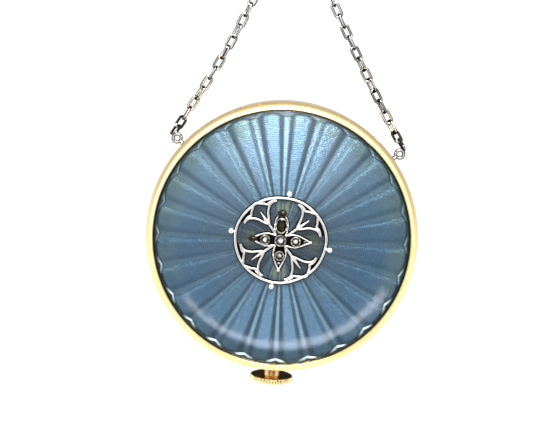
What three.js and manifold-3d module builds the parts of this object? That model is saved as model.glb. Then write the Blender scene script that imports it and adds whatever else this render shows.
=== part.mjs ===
// A round enamelled pill box that hangs from a fine chain, in millimetres.
// It lies on its base with the lid up: +Z is up, the hinge is at +Y and the push button at -Y.
import * as THREE from "three";
import { mergeVertices } from "three/addons/utils/BufferGeometryUtils.js";
import Module from "manifold-3d";

const wasm = await Module();
wasm.setup();

// Driving dimensions.
const rimRadius = 20; // outside of both gold rims
const rimBore = 18.78; // inside of both gold rims
const insertRadius = 18.74; // plates, enamels and linings that sit in the rims
const parting = 6; // height where the lid meets the base
const halfGap = 0.05; // from the parting height to either rim
const roundSteps = 48; // facets round everything that is centred on the box

// The button and its stem lie on one line along Y.
const buttonHeight = 3.6;
const headOuterY = -22.8;
const headInnerY = -21.9;
const headRadius = 3.25;
const hubRadius = 1.25;
const hubInnerY = -20.75;
const stemRadius = 0.58;
const bushRadius = 1.3;
const bushOuterY = -20.05;
const bushShoulderY = -18.3;
const bushInnerY = -17.35;
const springChamber = 1.05; // radius of the bush's wide bore, round the spring

// The hinge runs along X at the back of the rims.
const hingeY = 19.4;
const knuckleRadius = 0.48;
const knuckleLength = 0.92;
const knuckleGap = 0.08;
const knuckleCount = 5;
const hingeLength = knuckleCount * knuckleLength + (knuckleCount - 1) * knuckleGap;

// The lid's dome and the openwork ornament on top of it.
const domeEdge = 9.9;
const domeRise = 1.9;
const enamelThickness = 0.5;
const plateThickness = 0.4;
const skinGap = 0.04; // between the enamel, its plate and the lining
const ornamentBottom = domeEdge + domeRise + 0.03;
const ornamentThickness = 0.4;
const ornamentTop = ornamentBottom + ornamentThickness;
const ovalX = 6.75;
const ovalY = 6.37;
const wireWidth = 0.4;

// The chain's two halves leave the loops and meet at a small ring that lies behind the box.
const loopAngle = THREE.MathUtils.degToRad(51.4); // from +Y, to either side
const loopReach = 21.25;
const loopHeight = 4.4;
const chainRadius = 0.85;
const ringCentre = [-1.4, 48.2];
const ringRadius = 2.6;
const ringWire = 0.4;

// The origin is under the middle of the box and its button, so the model is moved forward by this much.
const originShift = -(rimRadius + headOuterY) / 2;

const colours = {
  gold: [0xe6c98a, 0.25, 1],
  gilt: [0xe0bf78, 0.35, 1],
  silver: [0xc9ced4, 0.35, 1],
  platinum: [0xe4e5e6, 0.25, 1],
  steel: [0x8a8f94, 0.4, 1],
  enamel: [0x5f86a3, 0.1, 0],
  diamond: [0xf2f4f6, 0.05, 0],
  darkStone: [0x2a241d, 0.1, 0],
};
const materials = Object.fromEntries(
  Object.entries(colours).map(([name, [color, roughness, metalness]]) => [
    name,
    new THREE.MeshStandardMaterial({ color, roughness, metalness }),
  ]),
);

const box = new THREE.Group();
box.position.y = originShift;

function add(name, geometry, material) {
  const mesh = new THREE.Mesh(geometry, materials[material]);
  mesh.name = name;
  box.add(mesh);
}

// Booleans.

function toSolid(geometry) {
  const bare = geometry.clone();
  bare.deleteAttribute("normal");
  bare.deleteAttribute("uv");
  const merged = mergeVertices(bare, 1e-4);
  return new wasm.Manifold(
    new wasm.Mesh({
      numProp: 3,
      vertProperties: merged.attributes.position.array,
      triVerts: new Uint32Array(merged.index.array),
    }),
  );
}

function toGeometry(solid) {
  const mesh = solid.getMesh();
  const geometry = new THREE.BufferGeometry();
  geometry.setAttribute("position", new THREE.BufferAttribute(mesh.vertProperties, 3));
  geometry.setIndex(new THREE.BufferAttribute(mesh.triVerts, 1));
  geometry.computeVertexNormals();
  return geometry;
}

function join(geometries) {
  return toGeometry(geometries.map(toSolid).reduce((whole, piece) => whole.add(piece)));
}

function cut(geometry, tools) {
  const body = tools.map(toSolid).reduce((left, tool) => left.subtract(tool), toSolid(geometry));
  return toGeometry(body);
}

// Shapes of revolution: a profile lists [radius, height] up its outer side.

function turned(profile, steps = roundSteps) {
  return new THREE.LatheGeometry(profile.map(([r, h]) => new THREE.Vector2(r, h)), steps);
}

function turnedRing(profile, steps = roundSteps) {
  return turned([...profile, profile[0]], steps);
}

function upright(geometry) {
  return geometry.rotateX(Math.PI / 2);
}

// The profile of a round wire bent into a ring.
function wireProfile(ringMean, wire, sides = 8) {
  return Array.from({ length: sides }, (_, i) => {
    const turn = (i * 2 * Math.PI) / sides;
    return [ringMean + wire * Math.cos(turn), wire * Math.sin(turn)];
  });
}

function rodAlongY(radius, fromY, toY, steps = 24) {
  const rod = new THREE.CylinderGeometry(radius, radius, toY - fromY, steps);
  return rod.translate(0, (fromY + toY) / 2, buttonHeight);
}

function block([fromX, fromY, fromZ], [toX, toY, toZ]) {
  const solid = new THREE.BoxGeometry(toX - fromX, toY - fromY, toZ - fromZ);
  return solid.translate((fromX + toX) / 2, (fromY + toY) / 2, (fromZ + toZ) / 2);
}

// Height of the lid's dome over its edge at a radius: flat in the middle, with a shoulder near the rim.
function domeOver(radius, rise) {
  return rise * (1 - (radius / insertRadius) ** 3);
}

// A disc with a domed top and a bottom of the same shape.
function domedDisc(topEdge, thickness, rise) {
  const rings = Array.from({ length: 6 }, (_, i) => insertRadius * Math.sqrt(i / 5));
  const at = (base) => rings.map((r) => [r, base + domeOver(r, rise)]);
  return upright(turned([...at(topEdge - thickness), ...at(topEdge).reverse()]));
}

// Gold rims, each with a trough for the hinge; the base's also takes the button's bush.

function hingeTrough() {
  const radius = knuckleRadius + 0.06;
  const trough = new THREE.CylinderGeometry(radius, radius, hingeLength + 0.18, 24);
  return trough.rotateZ(Math.PI / 2).translate(0, hingeY, parting);
}

function bushHole() {
  return rodAlongY(bushRadius + 0.1, -rimRadius - 1, bushInnerY + 0.3);
}

function addRims() {
  const baseProfile = [
    [rimBore, 0.2],
    [18.95, 0],
    [19.45, 0],
    [19.85, 0.45],
    [rimRadius, 1.2],
    [rimRadius, 4.9],
    [19.9, 5.4],
    [19.55, parting - halfGap],
    [rimBore, parting - halfGap],
  ];
  const lidProfile = [
    [rimBore, parting + halfGap],
    [19.55, parting + halfGap],
    [19.9, 6.6],
    [rimRadius, 7.2],
    [rimRadius, 8.3],
    [19.86, 9],
    [19.55, 9.6],
    [19.2, 10],
    [18.95, 10.18],
    [18.84, 10.2],
    [rimBore, 10.1],
  ];
  const baseRim = upright(turnedRing(baseProfile));
  add("base_rim", cut(baseRim, [hingeTrough(), bushHole()]), "gold");
  add("lid_rim", cut(upright(turnedRing(lidProfile)), [hingeTrough()]), "gold");
}

// Gilt linings: the base's stands proud of the parting line as a lip that the lid closes over.

function addLinings() {
  const floorBottom = 1.5;
  const floorTop = 1.9;
  const lipOuter = 18.45;
  const lipInner = 18.15;
  const lipTop = 6.9;
  const pan = turned([
    [0, floorBottom],
    [insertRadius, floorBottom],
    [insertRadius, parting - halfGap],
    [lipOuter, parting - halfGap],
    [lipOuter, lipTop],
    [lipInner, lipTop],
    [lipInner, floorTop],
    [0, floorTop],
  ]);
  add("base_lining", cut(upright(pan), [bushHole()]), "gilt");

  const lidInner = lipOuter + 0.08;
  const roofBottom = 8.5;
  const roofTop = 8.85;
  const cap = turned([
    [0, roofBottom],
    [lidInner, roofBottom],
    [lidInner, parting + halfGap],
    [insertRadius, parting + halfGap],
    [insertRadius, roofTop],
    [0, roofTop],
  ]);
  add("lid_lining", upright(cap), "gilt");
}

// Engine-turned plates under glassy enamel, domed on the lid and nearly flat under the base.

function addEnamels() {
  const lidEnamel = domedDisc(domeEdge, enamelThickness, domeRise);
  const plateEdge = domeEdge - enamelThickness - skinGap;
  const lidPlate = domedDisc(plateEdge, plateThickness, domeRise);
  const pinHoles = pinPlaces().map(([x, y]) => {
    const hole = new THREE.CylinderGeometry(0.28, 0.28, 6, 12);
    return hole.rotateX(Math.PI / 2).translate(x, y, domeEdge);
  });
  add("lid_enamel", cut(lidEnamel, pinHoles), "enamel");
  add("lid_guilloche_plate", cut(lidPlate, pinHoles), "silver");

  const backEdge = 0.85;
  const backRise = 0.35;
  const backTop = 1;
  const rings = [0, 9, 14, insertRadius];
  const back = rings.map((r) => [r, backEdge - domeOver(r, backRise)]);
  add("base_enamel", upright(turned([...back, [insertRadius, backTop], [0, backTop]])), "enamel");
  const plate = turned([
    [0, backTop + skinGap],
    [insertRadius, backTop + skinGap],
    [insertRadius, backTop + skinGap + plateThickness],
    [0, backTop + skinGap + plateThickness],
  ]);
  add("base_guilloche_plate", upright(plate), "silver");
}

// Hinge: knuckles alternate between base and lid on one pin.

function addHinge() {
  const names = [
    "hinge_knuckle_base_left",
    "hinge_knuckle_lid_left",
    "hinge_knuckle_base_middle",
    "hinge_knuckle_lid_right",
    "hinge_knuckle_base_right",
  ];
  const pitch = knuckleLength + knuckleGap;
  names.forEach((name, i) => {
    const bore = 0.25;
    const half = knuckleLength / 2;
    const knuckle = turnedRing(
      [
        [bore, -half],
        [knuckleRadius, -half],
        [knuckleRadius, half],
        [bore, half],
      ],
      16,
    );
    const x = (i - (knuckleCount - 1) / 2) * pitch;
    add(name, knuckle.rotateZ(Math.PI / 2).translate(x, hingeY, parting), "gold");
  });
  const pin = new THREE.CylinderGeometry(0.2, 0.2, hingeLength + 0.06, 16);
  add("hinge_pin", pin.rotateZ(Math.PI / 2).translate(0, hingeY, parting), "steel");
}

// Push button: head and stem slide in a bush and carry a hook that holds the lid's strike.

function addButton() {
  const middle = (geometry) => geometry.translate(0, 0, buttonHeight);
  const head = turned(
    [
      [0, headOuterY],
      [headRadius - 0.3, headOuterY],
      [headRadius, headOuterY + 0.25],
      [headRadius, headInnerY - 0.1],
      [headRadius - 0.1, headInnerY],
      [hubRadius, headInnerY],
      [hubRadius, hubInnerY],
      [0, hubInnerY],
    ],
    32,
  );
  add("button_head", middle(head), "gold");

  const bush = turnedRing(
    [
      [springChamber, bushOuterY],
      [bushRadius, bushOuterY],
      [bushRadius, bushInnerY],
      [stemRadius + 0.08, bushInnerY],
      [stemRadius + 0.08, bushShoulderY],
      [springChamber, bushShoulderY],
    ],
    24,
  );
  add("button_bush", middle(bush), "gold");
  const hookInnerY = -15.85;
  add("button_stem", rodAlongY(stemRadius, hubInnerY + 0.05, hookInnerY + 0.5), "steel");

  const hookOuterY = hookInnerY - 0.45;
  const hookTop = parting + 0.35;
  const shank = block([-1.3, hookOuterY, 2.6], [1.3, hookInnerY, hookTop]);
  const nose = block([-1, hookOuterY - 0.45, hookTop - 0.4], [1, hookOuterY + 0.1, hookTop]);
  const eye = rodAlongY(stemRadius + 0.06, hookOuterY - 1, hookInnerY + 1);
  add("catch_hook", cut(join([shank, nose]), [eye]), "steel");

  const nut = turnedRing(
    [
      [0.75, hookInnerY + 0.05],
      [1.1, hookInnerY + 0.05],
      [1.1, hookInnerY + 0.4],
      [0.75, hookInnerY + 0.4],
    ],
    6,
  );
  add("stem_nut", middle(nut), "steel");

  const strikeOuterY = -17.95;
  const plate = block([-1, strikeOuterY, 5.2], [1, strikeOuterY + 0.55, 8.45]);
  const lug = block([-1, strikeOuterY + 0.4, 5.2], [1, strikeOuterY + 1.05, 5.7]);
  add("lid_strike", join([plate, lug]), "steel");
}

// A coil spring in the bush pushes the head back out.
function addSpring() {
  const coilRadius = 0.83;
  const turns = 4;
  const steps = turns * 10;
  const fromY = hubInnerY + 0.12;
  const toY = bushShoulderY - 0.12;
  const points = Array.from({ length: steps + 1 }, (_, i) => {
    const turn = (i / steps) * turns * 2 * Math.PI;
    return new THREE.Vector3(
      coilRadius * Math.cos(turn),
      fromY + ((toY - fromY) * i) / steps,
      buttonHeight + coilRadius * Math.sin(turn),
    );
  });
  add("catch_spring", tube(points, 0.09, 6, steps), "steel");
}

function tube(points, radius, sides, steps) {
  const section = new THREE.Shape(
    Array.from({ length: sides }, (_, i) => {
      const turn = (i * 2 * Math.PI) / sides;
      return new THREE.Vector2(radius * Math.cos(turn), radius * Math.sin(turn));
    }),
  );
  const extrudePath = new THREE.CatmullRomCurve3(points);
  return new THREE.ExtrudeGeometry(section, { steps, extrudePath, bevelEnabled: false });
}

// Openwork ornament: an oval wire, four lotus sprays and a four-armed cross cut from one sheet.

// Places round the ornament, clockwise from +Y as it is seen from above.
function around(degrees, radius) {
  const turn = THREE.MathUtils.degToRad(degrees);
  return [radius * Math.sin(turn), radius * Math.cos(turn)];
}

const sprayTwist = 7; // the sprays and pins are turned this far from the cross
const pinRadius = 0.42;

function pinPlaces() {
  return [0, 90, 180, 270].map((degrees) => {
    const [x, y] = around(degrees + sprayTwist, 1);
    const reach = 1 / Math.hypot(x / ovalX, y / ovalY) + pinRadius + 0.05;
    return [x * reach, y * reach];
  });
}

function sheet(shape) {
  const depth = ornamentThickness;
  const solid = new THREE.ExtrudeGeometry(shape, { depth, curveSegments: 24, bevelEnabled: false });
  return solid.translate(0, 0, ornamentBottom);
}

// A strip of the sheet that follows a smooth line through the points.
function stroke(points, width, steps) {
  const line = new THREE.SplineCurve(points.map(([x, y]) => new THREE.Vector2(x, y)));
  const side = (sign) =>
    Array.from({ length: steps + 1 }, (_, i) => {
      const along = line.getTangent(i / steps);
      const offset = new THREE.Vector2(-along.y, along.x).multiplyScalar((sign * width) / 2);
      return line.getPoint(i / steps).add(offset);
    });
  return sheet(new THREE.Shape([...side(-1), ...side(1).reverse()]));
}

// Half a lotus spray: x runs out from the middle of the ornament, y to one side.
const sprayLines = [
  { points: [[2.9, 0.1], [3.6, 0.5], [4.4, 0.95], [5, 1.6], [5.2, 2.2], [5.05, 2.8]], steps: 8 },
  { points: [[5.05, 2.8], [5.38, 1.97], [5.35, 1.4], [5.65, 1.15]], steps: 5 },
  { points: [[5.65, 1.15], [5.95, 0.75], [6.35, 0.25], [6.45, 0]], steps: 4 },
];

function spray(degrees) {
  const halves = [1, -1].flatMap((sign) =>
    sprayLines.map(({ points, steps }) =>
      stroke(points.map(([x, y]) => [x, sign * y]), 0.36, steps),
    ),
  );
  const vein = stroke([[2.8, 0], [5, 0]], 0.3, 1);
  const stalk = stroke([[0.9, 0], [3, 0]], 0.5, 1);
  const turn = Math.PI / 2 - THREE.MathUtils.degToRad(degrees);
  return [...halves, vein, stalk].map((strip) => strip.rotateZ(turn));
}

function arm(degrees) {
  const halfWidths = [[0, 0.7], [0.9, 0.8], [2, 1], [3, 0.72]];
  const side = (sign) => halfWidths.map(([x, y]) => new THREE.Vector2(x, sign * y));
  const tip = new THREE.Vector2(4.6, 0);
  const plate = sheet(new THREE.Shape([...side(-1), tip, ...side(1).reverse()]));
  return plate.rotateZ(Math.PI / 2 - THREE.MathUtils.degToRad(degrees));
}

function ovalWire() {
  const shape = new THREE.Shape();
  shape.absellipse(0, 0, ovalX, ovalY, 0, 2 * Math.PI);
  const hole = new THREE.Path();
  hole.absellipse(0, 0, ovalX - wireWidth, ovalY - wireWidth, 0, 2 * Math.PI);
  shape.holes.push(hole);
  return sheet(shape);
}

function addOrnament() {
  const arms = [0, 90, 180, 270].map(arm);
  const sprays = [45, 135, 225, 315].flatMap((degrees) => spray(degrees + sprayTwist));
  add("ornament_openwork", join([ovalWire(), ...arms, ...sprays]), "platinum");
}

function addPins() {
  const names = ["ornament_pin_back", "ornament_pin_right", "ornament_pin_front", "ornament_pin_left"];
  pinPlaces().forEach(([x, y], i) => {
    const ballHeight = ornamentBottom + pinRadius;
    const shankBottom = 9.6;
    const ball = new THREE.SphereGeometry(pinRadius, 12, 8).translate(x, y, ballHeight);
    const shank = new THREE.CylinderGeometry(0.18, 0.18, ballHeight - shankBottom, 12);
    shank.rotateX(Math.PI / 2).translate(x, y, (ballHeight + shankBottom) / 2);
    add(names[i], join([ball, shank]), "platinum");
  });
}

// Rose-cut stones: the collets stand on the arms, and the tips' stones sit straight on the sheet.

function roseCut(radius, height, base) {
  const facets = turned(
    [
      [0, base],
      [radius, base],
      [radius, base + height * 0.3],
      [radius * 0.6, base + height * 0.8],
      [0, base + height],
    ],
    8,
  );
  return upright(facets);
}

function addStones() {
  const seat = ornamentTop + 0.04;
  const set = ({ name, degrees, reach, radius, stretch, material }) => {
    const [x, y] = around(degrees, reach);
    const collet = turnedRing(
      [
        [radius + 0.06, seat],
        [radius + 0.24, seat],
        [radius + 0.2, seat + 0.42],
        [radius + 0.06, seat + 0.42],
      ],
      12,
    );
    add(`collet_${name}`, upright(collet).scale(1, stretch, 1).translate(x, y, 0), "platinum");
    add(`stone_${name}`, roseCut(radius, 0.65, seat).scale(1, stretch, 1).translate(x, y, 0), material);
  };
  const settings = [
    { name: "centre", degrees: 0, reach: 0, radius: 0.62, stretch: 1, material: "diamond" },
    { name: "back", degrees: 0, reach: 2.15, radius: 0.6, stretch: 1.4, material: "darkStone" },
    { name: "right", degrees: 90, reach: 2.2, radius: 0.5, stretch: 1, material: "diamond" },
    { name: "front", degrees: 180, reach: 2.2, radius: 0.48, stretch: 1, material: "diamond" },
    { name: "left", degrees: 270, reach: 2.2, radius: 0.5, stretch: 1, material: "diamond" },
  ];
  settings.forEach(set);
  const tips = [
    { name: "back", degrees: 0, reach: 3.9, radius: 0.66, stretch: 0.62, material: "darkStone" },
    { name: "right", degrees: 90, reach: 3.55, radius: 0.24, stretch: 1, material: "diamond" },
    { name: "front", degrees: 180, reach: 3.3, radius: 0.24, stretch: 1, material: "diamond" },
    { name: "left", degrees: 270, reach: 3.95, radius: 0.66, stretch: 0.66, material: "darkStone" },
  ];
  tips.forEach(({ name, degrees, reach, radius, stretch, material }) => {
    const [x, y] = around(degrees, reach);
    const stone = roseCut(radius, 0.4, seat).scale(1, stretch, 1).translate(x, y, 0);
    add(`tip_stone_${name}`, stone, material);
  });
}

// Loops on the base rim, the two chain halves and the ring that joins them.

function addLoops() {
  [["chain_loop_left", -1], ["chain_loop_right", 1]].forEach(([name, side]) => {
    const eye = upright(turnedRing(wireProfile(0.6, 0.2), 16)).translate(0, loopReach, 0);
    const foot = new THREE.CylinderGeometry(0.28, 0.28, 0.6, 12);
    foot.translate(0, rimRadius + 0.05 + 0.3, 0);
    const loop = join([eye, foot]);
    add(name, loop.rotateZ(-side * loopAngle).translate(0, 0, loopHeight), "platinum");
  });
}

// Each half hangs from its loop to the table and then lies along it: [x, y, height of its middle].
const chainLeft = [
  [-17.1, 14.2, 3.3],
  [-16.6, 15.2, 2.0],
  [-15.8, 16.7, 1.05],
  [-14.6, 18.9, 0.9],
  [-12.5, 22.6, 0.9],
  [-9.7, 28.1, 0.9],
  [-6.8, 34.6, 0.9],
  [-4.6, 40.3, 0.9],
  [-2.7, 45.1, 0.9],
];
const chainRight = [
  [17.0, 14.4, 3.3],
  [16.3, 15.5, 2.0],
  [15.5, 16.9, 1.05],
  [14.3, 18.9, 0.9],
  [12.2, 22.4, 0.9],
  [9.2, 27.6, 0.9],
  [5.0, 35.2, 0.9],
  [2.4, 40.2, 0.9],
  [0.1, 45.2, 0.9],
];

function addChain() {
  const halves = { chain_left: chainLeft, chain_right: chainRight };
  Object.entries(halves).forEach(([name, route]) => {
    const points = route.map((place) => new THREE.Vector3(...place));
    add(name, tube(points, chainRadius, 8, 14), "platinum");
  });
  const ring = upright(turnedRing(wireProfile(ringRadius, ringWire), 24));
  add("top_ring", ring.translate(...ringCentre, chainRadius), "platinum");
}

addRims();
addLinings();
addEnamels();
addHinge();
addButton();
addSpring();
addOrnament();
addPins();
addStones();
addLoops();
addChain();

export default box;
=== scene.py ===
import math
import random

import bmesh
import bpy
from mathutils import Matrix, Vector


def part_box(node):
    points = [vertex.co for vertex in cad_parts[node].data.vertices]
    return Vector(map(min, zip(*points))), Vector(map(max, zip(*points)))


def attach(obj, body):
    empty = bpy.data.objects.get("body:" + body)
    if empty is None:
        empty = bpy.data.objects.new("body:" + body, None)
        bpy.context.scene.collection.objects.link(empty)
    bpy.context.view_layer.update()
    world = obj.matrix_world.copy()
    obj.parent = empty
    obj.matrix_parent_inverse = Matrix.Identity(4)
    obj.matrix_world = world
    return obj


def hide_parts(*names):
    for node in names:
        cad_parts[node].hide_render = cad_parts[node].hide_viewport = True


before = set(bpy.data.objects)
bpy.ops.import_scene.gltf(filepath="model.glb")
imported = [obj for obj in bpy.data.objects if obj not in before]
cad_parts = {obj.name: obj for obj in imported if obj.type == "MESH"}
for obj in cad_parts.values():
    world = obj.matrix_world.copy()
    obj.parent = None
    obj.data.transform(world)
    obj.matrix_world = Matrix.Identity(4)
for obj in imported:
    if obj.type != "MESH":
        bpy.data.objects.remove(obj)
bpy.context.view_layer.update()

MM = 0.001
TAU = 2 * math.pi

# Places and sizes, in millimetres about the box's own axis, taken from the frame where it holds them.
lid_low, lid_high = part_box("lid_rim")
AXIS = Vector(((lid_low.x + lid_high.x) / 2, (lid_low.y + lid_high.y) / 2, 0)) / MM
RIM_RADIUS = (lid_high.x - lid_low.x) / 2 / MM
LID_TOP = lid_high.z / MM
insert_low, insert_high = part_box("lid_enamel")
INSERT_RADIUS = (insert_high.x - insert_low.x) / 2 / MM
DOME_TOP = insert_high.z / MM
DOME_RISE = 1.9
DOME_EDGE = DOME_TOP - DOME_RISE
PARTING_GAP = 0.05  # half the gap between base and lid
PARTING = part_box("base_rim")[1].z / MM + PARTING_GAP
RIM_BORE = INSERT_RADIUS + 0.04
HINGE_Y = RIM_RADIUS - 0.6
BUTTON_Z = (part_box("button_head")[0].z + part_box("button_head")[1].z) / 2 / MM
HEAD_OUTER_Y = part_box("button_head")[0].y / MM - AXIS.y
FLUTES = 24
FLUTE_TURN = math.radians(13.6)
FLUTE_SLOPE = 0.0145  # depth of a groove for each millimetre from the axis
NOTCH_RADIUS = 17.75  # where the grooves end, at the border
SCALLOP = 0.5  # how much farther out the crests end
RING_SPACING = 0.3  # of the fine rings engraved across the flutes
TWIST = 7  # degrees that the sprays and pins are turned, clockwise from above
ROUND = 192

# The chain's route, [x, y, height of its middle] about the box's axis, as in the CAD model.
CHAIN_ROUTES = {
    "left": [
        (-17.1, 14.2, 3.3), (-16.6, 15.2, 2.0), (-15.8, 16.7, 1.05), (-14.6, 18.9, 0.9), (-12.5, 22.6, 0.9),
        (-9.7, 28.1, 0.9), (-6.8, 34.6, 0.9), (-4.6, 40.3, 0.9), (-2.7, 45.1, 0.9),
    ],
    "right": [
        (17.0, 14.4, 3.3), (16.3, 15.5, 2.0), (15.5, 16.9, 1.05), (14.3, 18.9, 0.9), (12.2, 22.4, 0.9),
        (9.2, 27.6, 0.9), (5.0, 35.2, 0.9), (2.4, 40.2, 0.9), (0.1, 45.2, 0.9),
    ],
}
LINK_PITCH = 1.8
LINK_WIRE = 0.2  # a wire's radius, here and below
LINK_LENGTH = 2.55
LINK_WIDTH = 1.42
RING_RADIUS = 2.6
RING_WIRE = 0.4
LOOP_BEARING = 51.4  # degrees from the hinge to either side
LOOP_REACH = 21.25
LOOP_Z = 4.4
LOOP_RADIUS = 0.6
LOOP_WIRE = 0.24


# ---------------------------------------------------------------- camera, floor and light


def make_camera():
    """Looks down on the lid from a hand's breadth, leaning to the hinge side, button at the bottom."""
    distance, lean, roll = 171, math.radians(8.1), math.radians(4.1)
    middle = AXIS + Vector((0, 0, 7.6))
    aim = AXIS + Vector((-2.41, 2.50, 7.6))
    eye = middle + distance * Vector((0, math.sin(lean), math.cos(lean)))
    forward = (aim - eye).normalized()
    right = forward.cross(Vector((0, 1, 0))).normalized()
    up = right.cross(forward)
    turned_right = right * math.cos(roll) + up * math.sin(roll)
    turned_up = up * math.cos(roll) - right * math.sin(roll)
    data = bpy.data.cameras.new("camera")
    data.sensor_width = 36
    data.lens = 78.25
    data.clip_start = 0.005
    camera = bpy.data.objects.new("camera", data)
    turn = Matrix((turned_right, turned_up, -forward)).transposed().to_4x4()
    camera.matrix_world = Matrix.Translation(eye * MM) @ turn
    bpy.context.collection.objects.link(camera)
    bpy.context.scene.camera = camera


def area_light(name, place, size, power, colour=(1, 1, 1)):
    """A rectangular softbox at place, in millimetres about the box, facing the lid."""
    data = bpy.data.lights.new(name, "AREA")
    data.shape = "RECTANGLE"
    data.size, data.size_y = size[0] * MM, size[1] * MM
    data.energy = power
    data.color = colour
    lamp = bpy.data.objects.new(name, data)
    lamp.location = (AXIS + Vector(place)) * MM
    aim = (AXIS + Vector((0, 0, DOME_TOP))) * MM - lamp.location
    lamp.rotation_euler = aim.to_track_quat("-Z", "Y").to_euler()
    bpy.context.collection.objects.link(lamp)


def light_card():
    """A curved strip of light in front of the box, which the lid's shoulder mirrors as an arc."""
    reach, height = 236, 302
    first, last = math.radians(-45), math.radians(56)
    lean = math.atan2(reach, height)
    across = Vector((0, -math.cos(lean), -math.sin(lean)))
    mesh = bmesh.new()
    rows = []
    for i in range(41):
        share = i / 40
        width = 13 + 14 * share + 6 * math.sin(math.pi * share)
        spin = Matrix.Rotation(first + (last - first) * share, 3, "Z")
        middle = Vector((0, -reach, height))
        ends = [spin @ (middle + across * side * width) for side in (-0.5, 0.5)]
        rows.append([mesh.verts.new((AXIS + end) * MM) for end in ends])
    for a, b in zip(rows, rows[1:]):
        mesh.faces.new((a[0], b[0], b[1], a[1]))
    card = object_from(mesh, "light_card", smooth=False)
    card.visible_camera = False
    card.visible_diffuse = False
    card.visible_shadow = False
    mat, _, shader = principled("light_card")
    shader.inputs["Base Color"].default_value = (0, 0, 0, 1)
    shader.inputs["Emission Color"].default_value = (0.94, 0.92, 1, 1)
    shader.inputs["Emission Strength"].default_value = 5.3
    card.data.materials.append(mat)


def make_floor():
    """White paper, glowing evenly to the camera. What mirrors it sees a painted glow, dimmer towards the
    back, and a painted shadow, black near the box at the button.
    """
    mesh = bmesh.new()
    half = 3000
    corners = [(-half, -half, 0), (half, -half, 0), (half, half, 0), (-half, half, 0)]
    mesh.faces.new([mesh.verts.new(Vector(c) * MM) for c in corners])
    floor = object_from(mesh, "floor", smooth=False)
    mat, tree, shader = principled("floor_paper")
    shader.inputs["Base Color"].default_value = (0.02, 0.02, 0.02, 1)
    shader.inputs["Roughness"].default_value = 0.9
    shader.inputs["Emission Color"].default_value = (1, 1, 1, 1)
    along = axes(tree)["Y"]
    # Painted shadow of the box and a painted glow that dims towards the back, seen only in what mirrors the
    # floor.
    shaded = remap(tree, along, -0.016, -0.008, 1, 0)
    lit = remap(tree, polar(tree)[0], RIM_RADIUS + 3, RIM_RADIUS + 8, 0, 1)
    outside_shadow = math_node(tree, "MAXIMUM", lit, math_node(tree, "SUBTRACT", 1, shaded))
    glow = product(tree, outside_shadow, remap(tree, along, -0.01, 0.02, 1.3, 0.7))
    rays = tree.nodes.new("ShaderNodeLightPath")
    pick = tree.nodes.new("ShaderNodeMix")
    tree.links.new(rays.outputs["Is Camera Ray"], pick.inputs[0])
    tree.links.new(glow, pick.inputs[2])
    pick.inputs[3].default_value = 1
    tree.links.new(pick.outputs[0], shader.inputs["Emission Strength"])
    floor.data.materials.append(mat)


def make_world():
    """A light tent: bright walls, brightest behind, a dim roof and a strip light overhead, front to back."""
    world = bpy.data.worlds.new("light_tent")
    bpy.context.scene.world = world
    world.use_nodes = True
    tree = world.node_tree
    background = tree.nodes["Background"]
    place = tree.nodes.new("ShaderNodeTexCoord")
    split = tree.nodes.new("ShaderNodeSeparateXYZ")
    ramp = tree.nodes.new("ShaderNodeValToRGB")
    tree.links.new(place.outputs["Generated"], split.inputs[0])
    tree.links.new(split.outputs["Z"], ramp.inputs[0])
    sideways = math_node(tree, "ABSOLUTE", split.outputs["X"])
    strip = product(
        tree,
        remap(tree, sideways, 0.12, 0.34, 1, 0),
        remap(tree, split.outputs["Z"], 0.6, 0.78, 0, 1),
        remap(tree, split.outputs["Y"], -0.45, 0.3, 0.2, 0.62),
    )
    both = tree.nodes.new("ShaderNodeVectorMath")
    both.operation = "ADD"
    tree.links.new(ramp.outputs[0], both.inputs[0])
    tree.links.new(strip, both.inputs[1])
    tree.links.new(both.outputs[0], background.inputs["Color"])
    stops = ramp.color_ramp.elements
    stops[0].position, stops[0].color = 0.6, (1, 1, 1, 1)
    stops[1].position, stops[1].color = 0.74, (0.135, 0.14, 0.145, 1)
    side = tree.nodes.new("ShaderNodeVectorMath")
    side.operation = "DOT_PRODUCT"
    side.inputs[1].default_value = (-0.34, 0.94, 0)
    tree.links.new(place.outputs["Generated"], side.inputs[0])
    tree.links.new(remap(tree, side.outputs["Value"], -0.7, 0.9, 1.25, 2.6), background.inputs["Strength"])


def make_studio():
    make_floor()
    make_world()
    area_light("back_softbox", (-15, 290, 300), (230, 150), 1.8, (1, 0.92, 0.83))
    light_card()
    bpy.context.scene.view_settings.view_transform = "Standard"


# ---------------------------------------------------------------- mesh helpers


def object_from(mesh, name, smooth=True):
    """A new object from a bmesh, with normals out and smooth shading where wanted."""
    bmesh.ops.recalc_face_normals(mesh, faces=mesh.faces)
    data = bpy.data.meshes.new(name)
    mesh.to_mesh(data)
    mesh.free()
    if smooth:
        data.polygons.foreach_set("use_smooth", [True] * len(data.polygons))
    piece = bpy.data.objects.new(name, data)
    bpy.context.collection.objects.link(piece)
    return piece


def sharp_edges(piece, degrees=35):
    """Keeps edges steeper than this crisp under smooth shading."""
    mesh = bmesh.new()
    mesh.from_mesh(piece.data)
    limit = math.radians(degrees)
    for edge in mesh.edges:
        edge.smooth = len(edge.link_faces) == 2 and edge.calc_face_angle(0) < limit
    mesh.to_mesh(piece.data)
    mesh.free()


def finish_piece(piece, material, slot, body, *nodes, degrees=35):
    """Material, body and the CAD nodes that a piece stands for; slot is not used."""
    sharp_edges(piece, degrees)
    piece.data.materials.append(material)
    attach(piece, body)
    if nodes:
        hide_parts(*nodes)


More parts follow.
